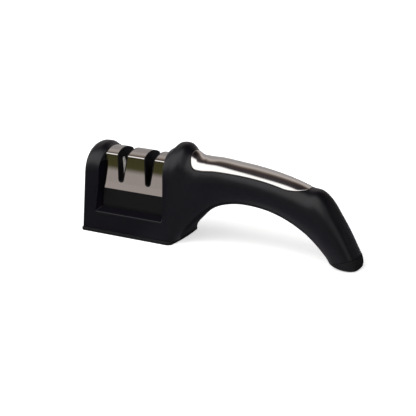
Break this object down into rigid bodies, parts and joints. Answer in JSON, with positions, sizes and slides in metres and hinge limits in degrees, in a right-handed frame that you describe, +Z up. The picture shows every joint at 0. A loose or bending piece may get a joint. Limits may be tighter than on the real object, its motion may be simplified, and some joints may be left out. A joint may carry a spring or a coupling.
{
  "type": "pull-through knife sharpener",
  "caption": "Hand-held pull-through knife sharpener: a slotted steel-covered head on a rubber sole, and an arched grip with a polished leaf that bends down to a rubber tail foot.",
  "frame": {"origin": "on the ground under the middle of the bounding box", "axes": "+X from the slotted head towards the tail, +Y across the body towards the back half shell, +Z up"},
  "size_m": [0.1998, 0.0412, 0.0675],
  "materials": {
    "housing": "satin moulded black",
    "inner_plastic": "matt moulded black",
    "rubber": "matt",
    "polished_steel": "polished",
    "cover_steel": "finely brushed",
    "ceramic": "fine-ground white ceramic",
    "carbide": "ground carbide",
    "screws": "zinc plated"
  },
  "bodies": {
    "root": {"housing_front": "housing", "housing_back": "housing", "base_plate": "inner_plastic", "base_sole": "rubber", "tail_foot": "rubber", "handle_inlay": "polished_steel", "steel_cover": "cover_steel", "carrier_front": "inner_plastic", "carrier_back": "inner_plastic", "ceramic_rod_front": "ceramic", "ceramic_rod_back": "ceramic", "carbide_blade_front": "carbide", "carbide_blade_back": "carbide", "carrier_screw_1": "screws", "carrier_screw_2": "screws", "housing_screw_1": "screws", "housing_screw_2": "screws", "housing_screw_3": "screws", "base_screw_1": "screws", "base_screw_2": "screws", "base_screw_3": "screws", "base_screw_4": "screws"}
  },
  "joints": []
}
